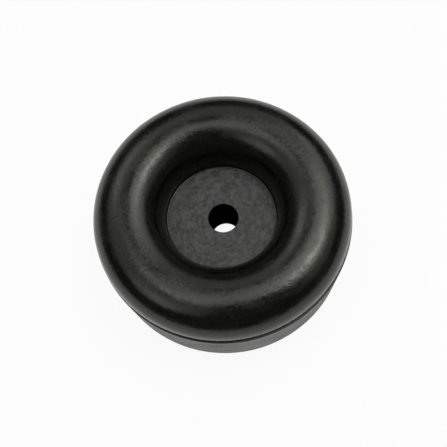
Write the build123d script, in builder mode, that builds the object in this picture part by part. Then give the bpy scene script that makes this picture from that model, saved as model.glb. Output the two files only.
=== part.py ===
from build123d import *
import os

# Round rubber door stop, moulded in one piece: a fat rounded ring stands on a
# straight-sided base, with a narrow groove round the outside between the two. Inside
# the ring a flared recess runs down to a flat seat for the washer and the screw head,
# and the screw hole goes through to the base's foot.
# The frame has +Z up, and its origin lies at the middle of the foot.

# Overall sizes, in millimetres
outer_diameter = 80.0       # across the ring's lip, and across the top of the base
height = 30.4

# Rounded ring
crest_diameter = 55.6       # circle along the top of the ring
lip_height = 21.0           # the ring is widest at its lower lip

# Recess and screw seat
seat_diameter = 35.0
seat_height = 17.6

# Base under the ring
groove_height = 0.8         # groove between the lip and the base's shoulder
groove_depth = 0.8
edge_chamfer = 0.2          # broken edges of the lip and of the shoulder
foot_diameter = 77.4        # the base wall draws in from the shoulder down to the foot
foot_chamfer = 0.3

# Screw hole
screw_hole_diameter = 9.4

os.makedirs("parts", exist_ok=True)

# Radii that the profile uses
outer_radius = outer_diameter / 2
crest_radius = crest_diameter / 2
seat_radius = seat_diameter / 2
foot_radius = foot_diameter / 2
hole_radius = screw_hole_diameter / 2
groove_radius = outer_radius - groove_depth

# Heights at the groove
lip_underside = lip_height - edge_chamfer
shoulder_height = lip_underside - groove_height

# Semi-axes of the ring's two rounded quarters
quarter_turn = 90
ring_outward = outer_radius - crest_radius
ring_upward = height - lip_height
wall_inward = crest_radius - seat_radius
wall_upward = height - seat_height

# Moulded body, as one profile turned about the Z axis
with BuildPart() as stop_body:
    with BuildSketch(Plane.XZ) as profile:
        with BuildLine():
            # Flared recess wall, from the seat up to the crest
            EllipticalCenterArc(
                (crest_radius, seat_height),
                wall_inward,
                wall_upward,
                start_angle=quarter_turn,
                arc_size=quarter_turn,
            )
            # Outside of the ring, from the lip up to the crest
            EllipticalCenterArc(
                (crest_radius, lip_height),
                ring_outward,
                ring_upward,
                start_angle=0,
                arc_size=quarter_turn,
            )
            # Lip, groove and base wall down to the foot, then in to the axis and up to the seat
            Polyline(
                (outer_radius, lip_height),
                (outer_radius - edge_chamfer, lip_underside),
                (groove_radius, lip_underside),
                (groove_radius, shoulder_height),
                (outer_radius, shoulder_height),
                (foot_radius, 0),
                (0, 0),
                (0, seat_height),
                (seat_radius, seat_height),
            )
        make_face()
        # Edges of the base's shoulder and of its foot
        shoulder_point = profile.vertices().sort_by_distance((outer_radius, shoulder_height))[0]
        chamfer(shoulder_point, length=edge_chamfer)
        foot_point = profile.vertices().sort_by_distance((foot_radius, 0))[0]
        chamfer(foot_point, length=foot_chamfer)
    revolve(axis=Axis.Z)
    # Screw hole, straight down from the seat through the foot
    with Locations((0, 0, seat_height)):
        Hole(hole_radius, depth=seat_height)

stop_body.part.label = "rubber_stop"
export_step(stop_body.part, "parts/rubber_stop.step")
print("rubber_stop", stop_body.part.bounding_box().size, round(stop_body.part.volume))
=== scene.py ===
from math import atan2, copysign, cos, pi, radians, sin, sqrt, tan

import bmesh
import bpy
from mathutils import Matrix, Vector, noise


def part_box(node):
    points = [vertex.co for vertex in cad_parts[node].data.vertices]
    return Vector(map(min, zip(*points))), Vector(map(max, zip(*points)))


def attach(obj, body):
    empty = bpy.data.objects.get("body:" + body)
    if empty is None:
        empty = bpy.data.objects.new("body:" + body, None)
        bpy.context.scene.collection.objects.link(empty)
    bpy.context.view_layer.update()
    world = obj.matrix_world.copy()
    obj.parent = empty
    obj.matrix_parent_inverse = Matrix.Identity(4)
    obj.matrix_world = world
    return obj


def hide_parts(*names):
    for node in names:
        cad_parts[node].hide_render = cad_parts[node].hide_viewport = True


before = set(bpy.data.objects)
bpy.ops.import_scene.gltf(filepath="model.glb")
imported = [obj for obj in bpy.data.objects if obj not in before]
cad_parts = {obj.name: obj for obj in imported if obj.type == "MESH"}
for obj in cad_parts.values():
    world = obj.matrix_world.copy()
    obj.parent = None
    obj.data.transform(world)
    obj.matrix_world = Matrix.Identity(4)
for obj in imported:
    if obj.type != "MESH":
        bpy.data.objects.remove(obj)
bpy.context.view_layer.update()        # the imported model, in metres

mm = 0.001
stopNode = "rubber_stop"
lowCorner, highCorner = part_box(stopNode)
outerRadius = (highCorner.x - lowCorner.x) / 2
stopHeight = highCorner.z - lowCorner.z
tiny = 0.001 * mm
quarterTurn = pi / 2


# Turned body, as one closed profile spun about the Z axis

bodySizes = {
    "crestRadius": 29.3 * mm,      # circle along the top of the ring
    "fullness": 2.2,               # how full the ring's section is: 2 is a plain ellipse
    "lipHeight": 21.0 * mm,        # the ring is widest here, at its lower lip
    "seatRadius": 17.5 * mm,
    "seatHeight": 17.6 * mm,
    "cornerWidth": 0.5 * mm,       # small round where the seat meets the recess wall
    "cornerHeight": 0.7 * mm,
    "holeRadius": 4.7 * mm,
    "holeEdge": 0.18 * mm,         # worn edge of the hole, at the seat and at the foot
    "lipEdge": 0.2 * mm,           # rounded edges on both sides of the groove
    "grooveHeight": 0.8 * mm,
    "grooveDepth": 0.8 * mm,
    "footRadius": 38.7 * mm,       # the base wall draws in to this
    "footEdge": 0.3 * mm,
    "finishDrop": 1.5,             # the ring's finish ends this many lip edges under the lip
    "spinSteps": 360,
    "quarterSteps": 36,            # faces along a quarter of the ring
    "edgeSteps": 4,                # faces round a small edge
    "cornerSteps": 6,              # round the seat's corner
    "holeSteps": 22,               # up the hole
    "seatSteps": 36,               # across the seat
    "grooveSteps": 2,              # along each face of the groove
    "wallSteps": 28,               # down the base wall
    "footSteps": 20,               # across the foot
}


def profileArc(bm, centre, reach, startAngle, sweep, steps, fullness=2):
    # a quarter or an edge round: one vertex spun in the XZ plane, then scaled to its two reaches
    first = bm.verts.new((cos(startAngle), 0, sin(startAngle)))
    turned = bmesh.ops.spin(bm, geom=[first], cent=(0, 0, 0), axis=(0, -1, 0),
                            angle=sweep, steps=steps, use_duplicate=False)
    last = [v for v in turned["geom_last"] if isinstance(v, bmesh.types.BMVert)][0]
    arc = chainOf(first)
    for v in arc:
        v.co.x = copysign(abs(v.co.x) ** (2 / fullness), v.co.x)
        v.co.z = copysign(abs(v.co.z) ** (2 / fullness), v.co.z)
    bmesh.ops.scale(bm, vec=(reach[0], 1, reach[1]), verts=arc)
    bmesh.ops.translate(bm, vec=(centre[0], 0, centre[1]), verts=arc)
    return first, last


def chainOf(start):
    # every vertex that hangs on this one
    found = [start]
    for v in found:
        for e in v.link_edges:
            other = e.other_vert(v)
            if other not in found:
                found.append(other)
    return found


def profileRun(bm, start, end, steps):
    # a straight stretch in even steps: a spin that only slides
    bmesh.ops.spin(bm, geom=[start], cent=(0, 0, 0), axis=(0, 1, 0), angle=0,
                   dvec=(end.co - start.co) / steps, steps=steps, use_duplicate=False)


def bodyProfile(bm, s):
    # arcs in order, from the hole's foot edge up, over the ring and down to the foot
    outward = outerRadius - s["crestRadius"]
    inward = s["crestRadius"] - s["seatRadius"]
    hole, edge, steps = s["holeRadius"], s["holeEdge"], s["edgeSteps"]
    seatHeight, lipHeight = s["seatHeight"], s["lipHeight"]
    lipEdge, footEdge, quarter = s["lipEdge"], s["footEdge"], s["quarterSteps"]
    wallFoot = seatHeight + s["cornerHeight"]
    underside = lipHeight - lipEdge
    shoulder = underside - s["grooveHeight"]
    grooveRadius = outerRadius - s["grooveDepth"]

    holeFoot = profileArc(bm, (hole + edge, edge), (edge, edge), -quarterTurn, -quarterTurn, steps)
    holeMouth = profileArc(bm, (hole + edge, seatHeight - edge), (edge, edge), pi, -quarterTurn, steps)
    seatCorner = profileArc(bm, (s["seatRadius"] - s["cornerWidth"], wallFoot),
                            (s["cornerWidth"], s["cornerHeight"]),
                            -quarterTurn, quarterTurn, s["cornerSteps"])
    # recess wall, up to the crest, and the ring's outside, down to the lip
    profileArc(bm, (s["crestRadius"], wallFoot), (inward, stopHeight - wallFoot),
               pi, -quarterTurn, quarter, s["fullness"])
    profileArc(bm, (s["crestRadius"], lipHeight), (outward, stopHeight - lipHeight),
               quarterTurn, -quarterTurn, quarter, s["fullness"])
    lipUnder = profileArc(bm, (outerRadius - lipEdge, lipHeight), (lipEdge, lipEdge),
                          0, -quarterTurn, steps)
    baseShoulder = profileArc(bm, (outerRadius - lipEdge, shoulder - lipEdge), (lipEdge, lipEdge),
                              quarterTurn, -quarterTurn, steps)
    footRound = profileArc(bm, (s["footRadius"] - footEdge, footEdge), (footEdge, footEdge),
                           0, -quarterTurn, steps)
    grooveTop = bm.verts.new((grooveRadius, 0, underside))
    grooveBottom = bm.verts.new((grooveRadius, 0, shoulder))

    # straight stretches between them: hole, seat, groove, base wall, foot
    profileRun(bm, holeFoot[1], holeMouth[0], s["holeSteps"])
    profileRun(bm, holeMouth[1], seatCorner[0], s["seatSteps"])
    profileRun(bm, lipUnder[1], grooveTop, s["grooveSteps"])
    profileRun(bm, grooveTop, grooveBottom, s["grooveSteps"])
    profileRun(bm, grooveBottom, baseShoulder[0], s["grooveSteps"])
    profileRun(bm, baseShoulder[1], footRound[0], s["wallSteps"])
    profileRun(bm, footRound[1], holeFoot[0], s["footSteps"])
    bmesh.ops.remove_doubles(bm, verts=bm.verts[:], dist=tiny)


# The moulding's own small faults: what is off centre, wavy or rough on the real one

mouldFaults = {
    "seatShift": Vector((-0.18, 0.36, 0)) * mm,    # the recess's core sat off centre
    "holeShift": Vector((0.26, 0, 0)) * mm,
    "baseShift": Vector((0.14, -0.47, 0)) * mm,    # and so did the lower half of the mould
    "edgeReach": 2,                # wear beside an edge goes this many edge widths from it
    "ringWave": 0.05 * mm,         # slow waves of the ring's skin
    "waveLength": 14 * mm,
    "waveSink": 0.6,               # sets the waves inward
    "flashWave": 0.06 * mm,        # slightly ragged parting line at the lip
    "flashLength": 2.2 * mm,
    "flashSink": 0.4,
    "seatRings": 0.016 * mm,       # turned marks on the seat
    "ringPitch": 1.15 * mm,
    "ringWander": 2,               # how far the marks stray from true circles
    "wanderLength": 9 * mm,
    "seatRough": 0.040 * mm,
    "roughLength": 1.3 * mm,
}


def smoothStep(x):
    # from 0 to 1 with a soft start and end
    x = min(max(x, 0), 1)
    return x * x * (3 - 2 * x)


def wearBody(bm, s, f):
    underside = s["lipHeight"] - s["lipEdge"]
    recessRun = s["crestRadius"] - s["seatRadius"]
    seatRun = s["seatRadius"] - s["holeRadius"] - s["holeEdge"]
    holeSide = s["holeRadius"] + f["edgeReach"] * s["holeEdge"]
    lipSide = f["edgeReach"] * s["lipEdge"]
    for v in bm.verts:
        spot = v.co.copy()
        radius = sqrt(spot.x ** 2 + spot.y ** 2)
        outwardWay = Vector((spot.x, spot.y, 0)).normalized()
        onSeat = abs(spot.z - s["seatHeight"]) < tiny and radius > holeSide
        inRecess = radius < s["crestRadius"] and spot.z > s["seatHeight"] - tiny
        onRing = radius > s["crestRadius"] and spot.z > s["lipHeight"]
        onBase = radius > s["crestRadius"] and spot.z < underside - tiny
        if onRing or (inRecess and not onSeat):
            wave = noise.noise(spot / f["waveLength"]) - f["waveSink"]
            v.co += v.normal * wave * f["ringWave"]
        if abs(spot.z - s["lipHeight"]) < lipSide and radius > outerRadius - lipSide:
            ragged = noise.noise(spot / f["flashLength"]) - f["flashSink"]
            v.co += outwardWay * ragged * f["flashWave"]
        if onSeat:
            fade = smoothStep((s["seatRadius"] - s["cornerWidth"] - radius) / mm)
            wander = f["ringWander"] * noise.noise(spot / f["wanderLength"])
            turned = sin(radius / f["ringPitch"] * 2 * pi + wander)
            rough = noise.noise(spot / f["roughLength"])
            v.co.z += fade * (turned * f["seatRings"] + rough * f["seatRough"])
        # what sits off centre: the recess, the hole in its place near the middle, and the base
        if inRecess:
            share = smoothStep((s["crestRadius"] - radius) / recessRun)
            v.co += f["seatShift"] * share
        if radius < s["seatRadius"] and spot.z < s["seatHeight"] + tiny:
            share = smoothStep((s["seatRadius"] - radius) / seatRun)
            v.co += f["holeShift"] * share - (f["seatShift"] * share if inRecess else Vector())
        if onBase or spot.z < s["footEdge"] + tiny:
            v.co += f["baseShift"] * smoothStep((radius - s["seatRadius"]) / recessRun)


def turnBody():
    s = bodySizes
    bm = bmesh.new()
    bodyProfile(bm, s)
    bmesh.ops.spin(bm, geom=bm.verts[:] + bm.edges[:], cent=(0, 0, 0), axis=(0, 0, 1),
                   angle=2 * pi, steps=s["spinSteps"], use_merge=True, use_duplicate=False)
    bmesh.ops.remove_doubles(bm, verts=bm.verts[:], dist=tiny)
    bmesh.ops.recalc_face_normals(bm, faces=bm.faces[:])
    bm.normal_update()
    paintZones(bm, s)
    wearBody(bm, s, mouldFaults)
    mesh = bpy.data.meshes.new("stop_body")
    bm.to_mesh(mesh)
    bm.free()
    mesh.shade_smooth()
    body = bpy.data.objects.new("stop_body", mesh)
    bpy.context.scene.collection.objects.link(body)
    print("body turned:", len(mesh.polygons), "faces")
    return body


zones = {"ring": 0, "seat": 1, "base": 2, "bore": 3}


def paintZones(bm, s):
    # which rubber finish each face shows; the ring's finish ends just under the lip
    underLip = s["lipHeight"] - s["finishDrop"] * s["lipEdge"]
    for face in bm.faces:
        middle = face.calc_center_median()
        radius = sqrt(middle.x ** 2 + middle.y ** 2)
        if radius < s["holeRadius"] + s["holeEdge"] / 2:
            zone = "bore"
        elif radius < s["seatRadius"] - s["cornerWidth"] and middle.z > s["seatHeight"] - s["holeEdge"]:
            zone = "seat"
        elif radius < s["seatRadius"] or middle.z < underLip:
            zone = "base" if middle.z < s["seatHeight"] or radius > s["crestRadius"] else "ring"
        else:
            zone = "ring"
        face.material_index = zones[zone]


# Rubber finishes

# how the noises are mixed, alike in all four
rubberMix = {
    "cloudDetail": 4, "mottleDetail": 3, "grainDetail": 4, "streakDetail": 3,
    "noiseRoughness": 0.6,
    "mottleShare": 0.45,           # of mottle in the clouds
    "grainShare": 0.35,            # of grain in the relief
    "low": 0.42, "high": 0.58,     # the stretch of the mixed noise that the finish spreads over
}

ringFinish = {
    "dark": (0.0012, 0.0012, 0.0012, 1), "pale": (0.0045, 0.0045, 0.0042, 1),
    "gloss": 0.15, "dull": 0.31,   # roughness from the shiniest spots to the dullest
    "sheen": 0.5,
    "tint": (1.0, 1.0, 0.90, 1),   # its highlights are slightly warm
    "cloud": 90, "mottle": 800, "grain": 2400,         # noise scales, per metre
    "around": 4, "across": 700,    # flow streaks round the ring
    "streakShare": 0.36,
    "bump": 0.75, "depth": 0.10 * mm,
    "speckTone": (0.05, 0.05, 0.047, 1), "speckLow": 0.71, "speckHigh": 0.77,
}

seatFinish = {
    "dark": (0.006, 0.006, 0.0058, 1), "pale": (0.092, 0.092, 0.0890, 1),
    "gloss": 0.45, "dull": 0.72,
    "sheen": 0.5,
    "tint": (1.0, 1.0, 1.0, 1),
    "cloud": 330, "mottle": 1000, "grain": 3000,
    "around": 7, "across": 900,
    "streakShare": 0.45,
    "bump": 1.0, "depth": 0.30 * mm,
    "speckTone": (0.09, 0.09, 0.087, 1), "speckLow": 0.68, "speckHigh": 0.76,
}

baseFinish = {
    "dark": (0.022, 0.0200, 0.0183, 1), "pale": (0.100, 0.090, 0.081, 1),
    "gloss": 0.40, "dull": 0.60,
    "sheen": 0.5,
    "tint": (1.0, 1.0, 1.0, 1),
    "cloud": 320, "mottle": 900, "grain": 2600,
    "around": 4, "across": 560,
    "streakShare": 0.80,
    "bump": 0.60, "depth": 0.10 * mm,
    "speckTone": (0.12, 0.115, 0.11, 1), "speckLow": 0.70, "speckHigh": 0.78,
}

# painted shade in the hole: its wall gets near-black rubber with no gloss, standing in for the shade
# inside the hole
boreShadeFinish = {
    "dark": (0.002, 0.002, 0.002, 1), "pale": (0.006, 0.006, 0.006, 1),
    "gloss": 0.55, "dull": 0.75,
    # no gloss: part of the painted shade in the hole
    "sheen": 0.0,
    "tint": (1.0, 1.0, 1.0, 1),
    "cloud": 130, "mottle": 900, "grain": 3200,
    "around": 3, "across": 900,
    "streakShare": 0.30,
    "bump": 0.30, "depth": 0.05 * mm,
    "speckTone": (0.02, 0.02, 0.02, 1), "speckLow": 0.74, "speckHigh": 0.80,
}


def addNode(mat, kind, values=None, **settings):
    # one node, with its settings and the values of its own sockets
    node = mat.node_tree.nodes.new(kind)
    for name, value in settings.items():
        setattr(node, name, value)
    for socket, value in (values or {}).items():
        node.inputs[socket].default_value = value
    return node


def speckle(mat, place, scale, detail):
    cloud = addNode(mat, "ShaderNodeTexNoise",
                    {"Scale": scale, "Detail": detail, "Roughness": rubberMix["noiseRoughness"]})
    mat.node_tree.links.new(place, cloud.inputs["Vector"])
    return cloud.outputs["Fac"]


def flowStreaks(mat, place, around, across):
    # noise drawn out round the Z axis, with no seam: it reads the direction, the radius and the height
    link = mat.node_tree.links.new
    flat = addNode(mat, "ShaderNodeVectorMath", {1: (1, 1, 0)}, operation="MULTIPLY")
    link(place, flat.inputs[0])
    radius = addNode(mat, "ShaderNodeVectorMath", operation="LENGTH")
    link(flat.outputs["Vector"], radius.inputs[0])
    way = addNode(mat, "ShaderNodeVectorMath", operation="NORMALIZE")
    link(flat.outputs["Vector"], way.inputs[0])
    slow = addNode(mat, "ShaderNodeVectorMath", {"Scale": around}, operation="SCALE")
    link(way.outputs["Vector"], slow.inputs[0])
    wide = addNode(mat, "ShaderNodeMath", {1: across}, operation="MULTIPLY")
    link(radius.outputs["Value"], wide.inputs[0])
    rise = addNode(mat, "ShaderNodeSeparateXYZ")
    link(place, rise.inputs["Vector"])
    tall = addNode(mat, "ShaderNodeMath", {1: across}, operation="MULTIPLY")
    link(rise.outputs["Z"], tall.inputs[0])
    lift = addNode(mat, "ShaderNodeCombineXYZ")
    link(wide.outputs["Value"], lift.inputs["Z"])
    spot = addNode(mat, "ShaderNodeVectorMath", operation="ADD")
    link(slow.outputs["Vector"], spot.inputs[0])
    link(lift.outputs["Vector"], spot.inputs[1])
    streaks = addNode(mat, "ShaderNodeTexNoise", {"Scale": 1, "Detail": rubberMix["streakDetail"]},
                      noise_dimensions="4D")
    link(spot.outputs["Vector"], streaks.inputs["Vector"])
    link(tall.outputs["Value"], streaks.inputs["W"])
    return streaks.outputs["Fac"]


def blendOf(mat, first, second, share):
    # a mix of two noises, by a fixed share of the second
    both = addNode(mat, "ShaderNodeMix", {"Factor": share})
    mat.node_tree.links.new(first, both.inputs["A"])
    mat.node_tree.links.new(second, both.inputs["B"])
    return both.outputs["Result"]


def rangeOf(mat, source, low, high, start, end):
    spread = addNode(mat, "ShaderNodeMapRange",
                     {"From Min": low, "From Max": high, "To Min": start, "To Max": end})
    mat.node_tree.links.new(source, spread.inputs["Value"])
    return spread.outputs["Result"]


def rubber(name, f):
    mix = rubberMix
    mat = bpy.data.materials.new(name)
    mat.use_nodes = True
    link = mat.node_tree.links.new
    shader = mat.node_tree.nodes["Principled BSDF"]
    shader.inputs["Specular IOR Level"].default_value = f["sheen"]
    shader.inputs["Specular Tint"].default_value = f["tint"]
    place = addNode(mat, "ShaderNodeTexCoord").outputs["Object"]
    cloud = speckle(mat, place, f["cloud"], mix["cloudDetail"])
    mottle = speckle(mat, place, f["mottle"], mix["mottleDetail"])
    grain = speckle(mat, place, f["grain"], mix["grainDetail"])
    streaks = flowStreaks(mat, place, f["around"], f["across"])
    patches = blendOf(mat, blendOf(mat, cloud, mottle, mix["mottleShare"]), streaks, f["streakShare"])

    # colour: darker and paler rubber in clouds and streaks, with small pale specks on it
    tone = addNode(mat, "ShaderNodeMix", {"A": f["dark"], "B": f["pale"]}, data_type="RGBA")
    link(rangeOf(mat, patches, mix["low"], mix["high"], 0, 1), tone.inputs["Factor"])
    specks = rangeOf(mat, grain, f["speckLow"], f["speckHigh"], 0, 1)
    dusty = addNode(mat, "ShaderNodeMix", {"B": f["speckTone"]}, data_type="RGBA")
    link(specks, dusty.inputs["Factor"])
    link(tone.outputs["Result"], dusty.inputs["A"])
    link(dusty.outputs["Result"], shader.inputs["Base Color"])

    # gloss and relief follow the same clouds
    skin = rangeOf(mat, patches, mix["low"], mix["high"], f["gloss"], f["dull"])
    link(skin, shader.inputs["Roughness"])
    relief = addNode(mat, "ShaderNodeBump", {"Strength": f["bump"], "Distance": f["depth"]})
    link(blendOf(mat, mottle, grain, mix["grainShare"]), relief.inputs["Height"])
    link(relief.outputs["Normal"], shader.inputs["Normal"])
    print("finish mixed:", name)
    return mat


# Studio: pale floor, soft lamps, camera

studio = {
    "floorTone": (0.95, 0.95, 0.95, 1),
    "floorRoughness": 0.9,
    "whiteShare": 0.93,            # how much of the floor's look is plain white, the rest is lit
    "worldTone": (1, 1, 1, 1),
    "worldLevel": 0.08,            # light from the room
    "floorSize": 6.0,
    "lampReach": 0.8,              # from the floor's middle to each lamp
}

# soft boxes over the stop: how far the middle leans from straight above, to the right and to the
# back, and the width and depth of the box, all in degrees, with the brightness of its face
lamps = {
    "windowCore": {"lean": (19, 4), "span": (14, 15), "level": 5.2},
    "windowBody": {"lean": (15, 13), "span": (29, 25), "level": 2.8},
    "windowTail": {"lean": (26, -3), "span": (18, 14), "level": 2.1},
    "windowSide": {"lean": (32, 24), "span": (26, 40), "level": 1.2},
    "lampLeft": {"lean": (-9, 6), "span": (13, 20), "level": 2.4},
    "backArc": {"lean": (-24, 34), "span": (18, 15), "level": 1.7},
    "leftLow": {"lean": (-36, -18), "span": (26, 26), "level": 0.9},
    "roomRight": {"lean": (42, 0), "span": (26, 54), "level": 0.5},
    "roomBack": {"lean": (10, 42), "span": (50, 30), "level": 0.6},
    "roomLeft": {"lean": (-28, 8), "span": (46, 80), "level": 0.5},
}

cameraView = {
    "elevation": 69.1,
    "roll": 8.7,
    "distance": 6.7,               # in outer radii, from the point looked at
    "aimHeight": 0.3,              # in outer radii
    "aimRise": 0.29 * mm,          # and up the picture by this much
    "focal": 837.5,                # pixels of the 447 pixel frame
    "framePixels": 447,
    "sensor": 36.0,
}


def floorFinish():
    mat = bpy.data.materials.new("paleFloor")
    mat.use_nodes = True
    link = mat.node_tree.links.new
    shader = mat.node_tree.nodes["Principled BSDF"]
    shader.inputs["Base Color"].default_value = studio["floorTone"]
    shader.inputs["Roughness"].default_value = studio["floorRoughness"]
    shader.inputs["Specular IOR Level"].default_value = 0      # no gloss on the floor
    # plain white to camera, glossy and transmission rays, with the lit floor's shadow in it
    white = addNode(mat, "ShaderNodeEmission", {"Color": (1, 1, 1, 1), "Strength": 1})
    ray = addNode(mat, "ShaderNodeLightPath")
    seen = addNode(mat, "ShaderNodeMath", operation="MAXIMUM")
    link(ray.outputs["Is Camera Ray"], seen.inputs[0])
    link(ray.outputs["Is Glossy Ray"], seen.inputs[1])
    seenThrough = addNode(mat, "ShaderNodeMath", operation="MAXIMUM")
    link(seen.outputs["Value"], seenThrough.inputs[0])
    link(ray.outputs["Is Transmission Ray"], seenThrough.inputs[1])
    share = addNode(mat, "ShaderNodeMath", {1: studio["whiteShare"]}, operation="MULTIPLY")
    link(seenThrough.outputs["Value"], share.inputs[0])
    both = addNode(mat, "ShaderNodeMixShader")
    link(share.outputs["Value"], both.inputs["Fac"])
    link(shader.outputs["BSDF"], both.inputs[1])
    link(white.outputs["Emission"], both.inputs[2])
    link(both.outputs["Shader"], mat.node_tree.nodes["Material Output"].inputs["Surface"])
    return mat


def layFloor():
    bm = bmesh.new()
    bmesh.ops.create_grid(bm, x_segments=1, y_segments=1, size=studio["floorSize"] / 2)
    mesh = bpy.data.meshes.new("studio_floor")
    bm.to_mesh(mesh)
    bm.free()
    floor = bpy.data.objects.new("studio_floor", mesh)
    bpy.context.scene.collection.objects.link(floor)
    mesh.materials.append(floorFinish())
    print("floor laid")


def hangLamps():
    reach = studio["lampReach"]
    for name, lamp in lamps.items():
        right, back = lamp["lean"]
        fall = radians(sqrt(right ** 2 + back ** 2))
        turn = atan2(back, right)
        way = Vector((sin(fall) * cos(turn), sin(fall) * sin(turn), cos(fall)))
        data = bpy.data.lights.new(name, "AREA")
        data.shape = "ELLIPSE"
        data.size, data.size_y = (2 * reach * tan(radians(span) / 2) for span in lamp["span"])
        # an even face: its brightness, times pi, times its area
        data.energy = lamp["level"] * pi * (pi / 4 * data.size * data.size_y)
        light = bpy.data.objects.new(name, data)
        across = (Vector((1, 0, 0)) - way * way.x).normalized()
        turned = Matrix((across, way.cross(across), way)).transposed().to_4x4()
        light.matrix_world = Matrix.Translation(way * reach) @ turned
        bpy.context.scene.collection.objects.link(light)
    print("lamps hung:", len(lamps))


def lightRoom():
    world = bpy.data.worlds.new("studioRoom")
    bpy.context.scene.world = world
    world.use_nodes = True
    back = world.node_tree.nodes["Background"]
    back.inputs["Color"].default_value = studio["worldTone"]
    back.inputs["Strength"].default_value = studio["worldLevel"]
    print("room lit")


def placeCamera():
    v = cameraView
    data = bpy.data.cameras.new("photoView")
    data.sensor_width = v["sensor"]
    data.lens = v["sensor"] * v["focal"] / v["framePixels"]
    camera = bpy.data.objects.new("photoView", data)
    bpy.context.scene.collection.objects.link(camera)
    rise, roll = radians(v["elevation"]), radians(v["roll"])
    back = Vector((0, -cos(rise), sin(rise)))
    level = Vector((1, 0, 0))
    upright = back.cross(level)
    across = cos(roll) * level - sin(roll) * upright
    above = sin(roll) * level + cos(roll) * upright
    aim = Vector((0, 0, v["aimHeight"] * outerRadius)) + above * v["aimRise"]
    turned = Matrix((across, above, back)).transposed().to_4x4()
    camera.matrix_world = Matrix.Translation(aim + back * v["distance"] * outerRadius) @ turned
    bpy.context.scene.camera = camera
    print("camera placed")


body = turnBody()
body.data.materials.append(rubber("ringRubber", ringFinish))
body.data.materials.append(rubber("seatRubber", seatFinish))
body.data.materials.append(rubber("baseRubber", baseFinish))
# the hole's wall, in near-black rubber without gloss: painted shade
body.data.materials.append(rubber("boreShadeRubber", boreShadeFinish))
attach(body, "root")
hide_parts(stopNode)
layFloor()
hangLamps()
lightRoom()
placeCamera()
bpy.context.scene.view_settings.view_transform = "Standard"
